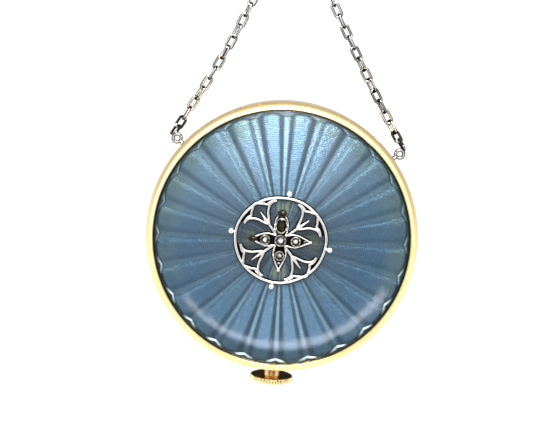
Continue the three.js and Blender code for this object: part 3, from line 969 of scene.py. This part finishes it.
def spray_backing(mesh, turn):
    """A dark sheet of painted shade between a spray's scalloped crown and the oval wire."""
    _, notch_side, crown = [line for line, _ in SPRAY_LINES]
    half = [*notch_side, *crown[1:]]
    inner = [(x, -y) for x, y in half] + [(x, y) for x, y in reversed(half[:-1])]
    spread = math.atan2(notch_side[0][1], notch_side[0][0])
    outline = [turn @ Vector((x, y, 0)) for x, y in inner]
    for k in range(13):
        direction = turn @ Vector((math.cos(spread * (1 - k / 6)), math.sin(spread * (1 - k / 6)), 0))
        outline.append(direction / math.hypot(direction.x / OVAL[0], direction.y / OVAL[1]))
    thin_plate(mesh, outline, ORNAMENT_Z + 0.01, ORNAMENT_Z + 0.05)


def make_openwork(mats):
    """Oval wire, four lotus sprays and the kite-shaped arms, all of one white metal, with painted shade in a
    near-black second material under and between them.
    """
    rng = random.Random(4)
    height = ORNAMENT_Z + 0.2
    mesh = bmesh.new()
    oval = []
    for k in range(96):
        turn = TAU * k / 96
        wobble = 1 + 0.006 * math.sin(3 * turn + 0.6) + 0.004 * math.sin(7 * turn)
        oval.append(Vector((OVAL[0] * wobble * math.cos(turn), OVAL[1] * wobble * math.sin(turn), height)))
    sweep(mesh, oval, 0.19, 12, closed=True)
    shadow_ribbon_under(mesh, oval, [0.19] * len(oval), closed=True)
    for degrees in (45, 135, 225, 315):
        turn = outward(degrees + TWIST + rng.uniform(-1.5, 1.5))
        for side in (1, -1):
            for line, widths in SPRAY_LINES:
                wire_on_sheet(mesh, [(x, side * y) for x, y in line], widths, turn, height)
        wire_on_sheet(mesh, [(3.1, 0), (3.9, 0), (5.0, 0)], (0.28, 0.2, 0.08), turn, height, 4)
        wire_on_sheet(mesh, [(1.2, 0), (3.0, 0)], (0.2, 0.2), turn, height, 4)
        ball(mesh, turn @ Vector((3.0, 0, height + 0.05)), 0.27)
        spray_backing(mesh, turn)
    arm_plate(mesh, outward(0), height, BACK_ARM_OUTLINE, None)
    arm_plate(mesh, outward(90), height, ARM_OUTLINE, 4.35)
    arm_plate(mesh, outward(180), height, ARM_OUTLINE, 4.35)
    arm_plate(mesh, outward(270), height, ARM_OUTLINE[:-1], None)
    ball(mesh, outward(0) @ Vector((3.12, 0, height + 0.4)), 0.24)
    piece = object_from(place(mesh, None, OFF_CENTRE), "ornament_openwork_wire")
    finish_piece(piece, mats["platinum"], "platinum", "lid", "ornament_openwork", degrees=50)
    piece.data.materials.append(mats["painted_shade"])


def arm_plate(mesh, turn, height, outline, bead_at):
    """One arm: a dark sunk plate, painted shade in its recess, with a thin raised wire on either side and
    sometimes a bead on its tip.
    """
    for side in (1, -1):
        widths = (0.12,) * len(outline)
        wire_on_sheet(mesh, [(x, side * y) for x, y in outline], widths, turn, height + 0.08, 4)
        for x, y in outline[:3]:
            ball(mesh, turn @ Vector((x, side * y, height + 0.16)), 0.15, 6)
    rim = [(x, y) for x, y in outline] + [(x, -y) for x, y in reversed(outline)]
    thin_plate(mesh, [turn @ Vector((x, y, 0)) for x, y in rim], height - 0.16, height + 0.02)
    if bead_at:
        ball(mesh, turn @ Vector((bead_at, 0, height + 0.08)), 0.24)


def ball(mesh, at, radius, steps=12):
    where = Matrix.Translation(at)
    bmesh.ops.create_uvsphere(mesh, u_segments=steps * 2, v_segments=steps, radius=radius, matrix=where)


def make_pins(mats):
    for name, degrees in (("back", 0), ("right", 90), ("front", 180), ("left", 270)):
        direction = outward(degrees + TWIST) @ Vector((1, 0, 0))
        reach = 1 / math.hypot(direction.x / (OVAL[0] + 0.2), direction.y / (OVAL[1] + 0.2)) + 0.47
        middle = direction * reach + Vector((0, 0, ORNAMENT_Z + 0.42))
        mesh = bmesh.new()
        ball(mesh, middle, 0.42)
        neck = [middle, middle - direction * 0.55]
        sweep(mesh, neck, 0.16, 10)
        sweep(mesh, [middle, middle - Vector((0, 0, 0.6))], 0.18, 12)
        piece = object_from(place(mesh, None, OFF_CENTRE), f"pin_{name}_ball")
        finish_piece(piece, mats["platinum"], "platinum", "lid", f"ornament_pin_{name}", degrees=50)


def collet(name, at, radius, height, mats, node, stretch):
    """A thin tapered cup with eight grains of metal pushed over the stone's edge."""
    profile = [
        (radius + 0.1, height), (radius + 0.24, height),
        (radius + 0.2, height + 0.4), (radius + 0.12, height + 0.42),
    ]
    mesh = lathe_mesh(rounded(profile, 0.05, 3), 40)
    for k in range(8):
        turn = TAU * (k + 0.5) / 8
        reach = radius + 0.14
        grain = Vector((reach * math.cos(turn), reach * math.sin(turn), height + 0.38))
        ball(mesh, grain, 0.12, 6)
    bmesh.ops.scale(mesh, vec=(1, stretch, 1), verts=mesh.verts)
    piece = object_from(place(mesh, None, OFF_CENTRE + at), name)
    finish_piece(piece, mats["grained"], "platinum", "lid", node, degrees=40)


def rose_cut(name, at, radius, height, base, sides, material, node, stretch=1.0):
    """A flat-backed stone: a girdle, a ring of kite facets and a pointed crown of six."""
    mesh = bmesh.new()
    girdle_low = ring_of(mesh, radius, base, sides, 0, stretch)
    girdle = ring_of(mesh, radius, base + height * 0.22, sides, 0, stretch)
    shoulder = ring_of(mesh, radius * 0.62, base + height * 0.74, sides // 2, 0.5, stretch)
    top = mesh.verts.new((0, 0, base + height))
    mesh.faces.new(girdle_low)
    bridge(mesh, [girdle_low, girdle])
    for k in range(sides // 2):
        n = (k + 1) % (sides // 2)
        a, b, c = girdle[2 * k], girdle[2 * k + 1], girdle[(2 * k + 2) % sides]
        mesh.faces.new((a, b, shoulder[k]))
        mesh.faces.new((b, c, shoulder[k]))
        mesh.faces.new((c, shoulder[n], shoulder[k]))
        mesh.faces.new((shoulder[k], shoulder[n], top))
    piece = object_from(place(mesh, None, OFF_CENTRE + at), name, smooth=False)
    piece.data.materials.append(material)
    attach(piece, "lid")
    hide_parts(node)


def ring_of(mesh, radius, height, sides, offset, stretch):
    """Corners of a faceted ring; offset is in facets of the girdle's spacing."""
    verts = []
    for k in range(sides):
        turn = TAU * (k + offset) / sides
        verts.append(mesh.verts.new((radius * math.cos(turn), radius * stretch * math.sin(turn), height)))
    return verts


def make_stones(mats):
    """Collet-set stones on the arms and small ones straight on the tips; some of them are dark."""
    seat = ORNAMENT_Z + 0.44
    settings = [
        ("centre", 0, 0, 0.6, 1, "diamond"),
        ("back", 0, 2.15, 0.6, 1.4, "dark_stone"),
        ("right", 90, 2.2, 0.48, 1, "diamond"),
        ("front", 180, 2.2, 0.46, 1, "diamond"),
        ("left", 270, 2.2, 0.48, 1, "diamond"),
    ]
    for name, degrees, reach, radius, stretch, stone in settings:
        at = outward(degrees) @ Vector((reach, 0, 0))
        collet(f"collet_{name}_grained", at, radius, seat - 0.04, mats, f"collet_{name}", stretch)
        stone_node = f"stone_{name}"
        rose_cut(f"rose_cut_{name}", at, radius, 0.62, seat, 12, mats[stone], stone_node, stretch)
    tips = [
        ("back", 0, 3.95, 0.7, 0.66, "dark_stone"),
        ("right", 90, 3.55, 0.24, 1, "diamond"),
        ("front", 180, 3.3, 0.24, 1, "diamond"),
        ("left", 270, 3.95, 0.66, 0.66, "dark_stone"),
    ]
    for name, degrees, reach, radius, stretch, stone in tips:
        at = outward(degrees) @ Vector((reach, 0, 0))
        tip_node, base = f"tip_stone_{name}", seat - 0.3
        rose_cut(f"tip_cut_{name}", at, radius, 0.38, base, 10, mats[stone], tip_node, stretch)


# ---------------------------------------------------------------- loops, chain and ring


def link_points(length, width, wire, steps=28):
    """The middle line of an oval link, long axis X, in its own plane."""
    half_straight = (length - width) / 2
    bend = width / 2 - wire
    points = []
    for k in range(steps):
        turn = TAU * k / steps
        shift = half_straight if math.cos(turn) > 0 else -half_straight
        points.append(Vector((bend * math.cos(turn) + shift, bend * math.sin(turn), 0)))
    return points


def level_circle(centre, radius, steps):
    """Points round a level circle."""
    turns = [TAU * k / steps for k in range(steps)]
    return [centre + radius * Vector((math.cos(turn), math.sin(turn), 0)) for turn in turns]


def chain_line(route, steps=40):
    """The route as close points, with the running length at each."""
    line = smooth_line(route, steps)
    lengths = [0.0]
    for a, b in zip(line, line[1:]):
        lengths.append(lengths[-1] + (b - a).length)
    return line, lengths


def at_length(line, lengths, wanted):
    """A place and direction at a running length along the line, also a little past its ends."""
    k = min(max(sum(1 for x in lengths if x <= wanted) - 1, 0), len(line) - 2)
    share = (wanted - lengths[k]) / (lengths[k + 1] - lengths[k])
    return line[k].lerp(line[k + 1], share), (line[k + 1] - line[k]).normalized()


def shaded_below(piece, material, level):
    """Painted shade: leaves the metal bright on top and dark where its surface turns away from the top."""
    piece.data.materials.append(material)
    for face in piece.data.polygons:
        if face.normal.z < level:
            face.material_index = 1


def make_chain(mats, side):
    """One half of the chain: links in turn stand and lie, each a little out of true."""
    rng = random.Random(side)
    line, lengths = chain_line(CHAIN_ROUTES[side])
    start, end = -0.55, lengths[-1] + 0.5  # the end links reach into the loop and the ring
    count = round((end - start) / LINK_PITCH)
    pitch = (end - start) / count
    mesh = bmesh.new()
    for i in range(count):
        middle, along = at_length(line, lengths, start + (i + 0.5) * pitch)
        level = Vector((0, 0, 1)).cross(along).normalized()
        roll = math.radians(15 if i % 2 else -72) + rng.uniform(-0.45, 0.45)
        turn = Matrix((along, level, along.cross(level))).transposed() @ Matrix.Rotation(roll, 3, "X")
        points = [middle + turn @ p for p in link_points(LINK_LENGTH, LINK_WIDTH, LINK_WIRE)]
        sweep(mesh, points, LINK_WIRE, 12, closed=True)
    piece = object_from(place(mesh), f"chain_{side}_links")
    finish_piece(piece, mats["silver"], "platinum", "base", f"chain_{side}", degrees=60)
    shaded_below(piece, mats["underside_shade"], 0.89)
    path = [(AXIS + p) * MM for p in line]
    return piece, path, lengths[-1] * MM


def make_chains(mats):
    """Both halves of the chain, and the ring that they meet in."""
    ring_low, ring_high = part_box("top_ring")
    centre = (ring_low + ring_high) / 2 / MM - AXIS
    mesh = bmesh.new()
    sweep(mesh, level_circle(centre, RING_RADIUS, 64), RING_WIRE, 16, closed=True)
    ring = object_from(place(mesh), "top_ring_round")
    finish_piece(ring, mats["platinum"], "platinum", "base", "top_ring", degrees=60)
    for side in ("left", "right"):
        piece, path, length = make_chain(mats, side)


def make_loops(mats):
    """The loops soldered to the base's side, each on a short flared foot."""
    for side, sign in (("left", -1), ("right", 1)):
        mesh = bmesh.new()
        direction = outward(sign * LOOP_BEARING) @ Vector((1, 0, 0))
        level = Vector((0, 0, LOOP_Z))
        circle = level_circle(direction * LOOP_REACH + level, LOOP_RADIUS, 40)
        sweep(mesh, circle, LOOP_WIRE, 16, closed=True)
        foot = [direction * r + level for r in (20.0, 20.15, 20.35, 20.6)]
        sweep(mesh, foot, [0.42, 0.34, 0.26, 0.2], 16)
        piece = object_from(place(mesh), f"loop_{side}_round")
        finish_piece(piece, mats["platinum"], "platinum", "base", f"chain_loop_{side}", degrees=60)
        shaded_below(piece, mats["underside_shade"], 0.9)


make_camera()
materials = make_materials()
make_chains(materials)
make_studio()
make_rims(materials)
make_linings(materials)
make_enamels(materials)
make_hinge(materials)
make_button(materials)
make_openwork(materials)
make_pins(materials)
make_stones(materials)
make_loops(materials)
